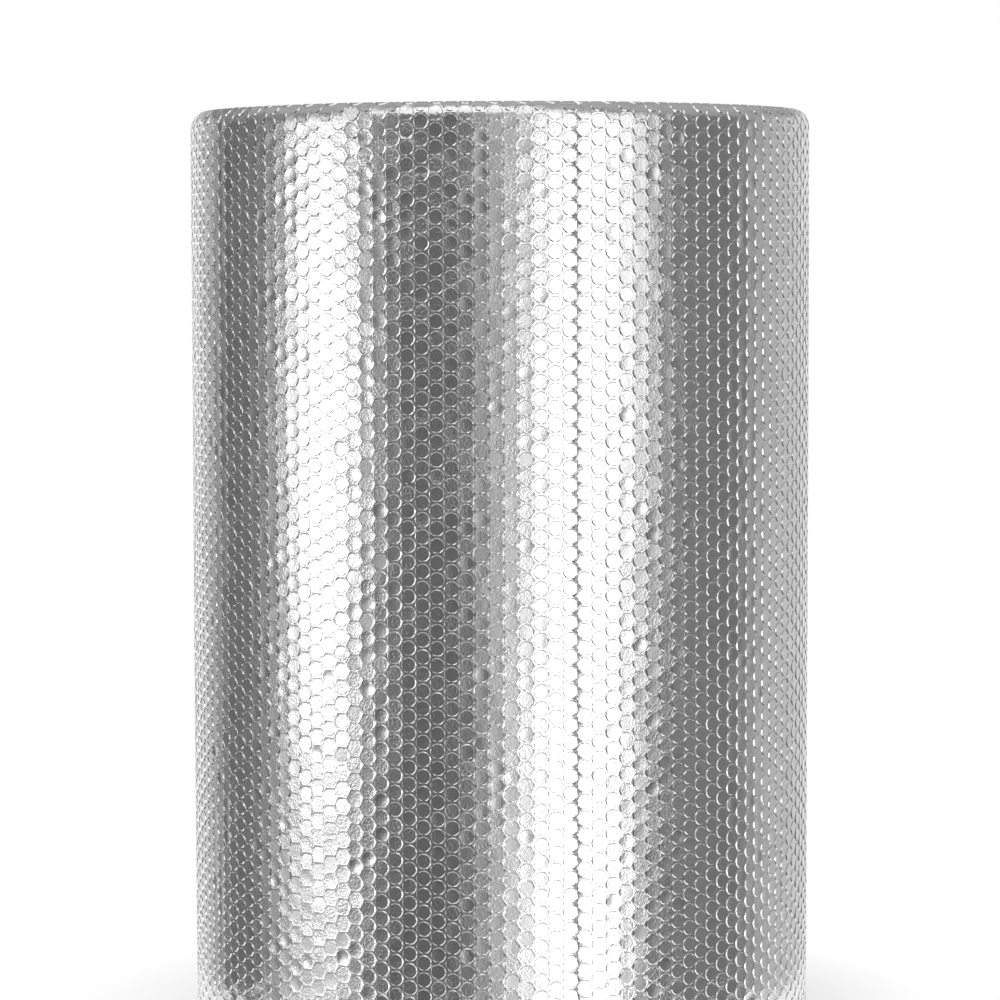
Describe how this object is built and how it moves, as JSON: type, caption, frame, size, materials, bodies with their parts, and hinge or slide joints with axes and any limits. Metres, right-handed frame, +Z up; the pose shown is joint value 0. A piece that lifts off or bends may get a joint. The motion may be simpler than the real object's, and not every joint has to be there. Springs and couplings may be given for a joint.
{
  "type": "foil bubble insulation roll",
  "caption": "Roll of silvery foil bubble insulation sheet, wound on itself round an open bore and standing on its end.",
  "frame": {"origin": "on the floor, on the axis of the winding bore, at the middle of the roll's lower end", "axes": "+Z up along the winding bore; -Y towards the side that the picture shows; the sheet's loose end is at the back, towards +Y and -X"},
  "size_m": [0.4154, 0.4154, 0.61],
  "materials": {
    "metallised_film": "bright metallised plastic film over air bubbles, faintly wrinkled"
  },
  "bodies": {
    "root": {"foil_bubble_roll": "metallised_film"}
  },
  "joints": []
}
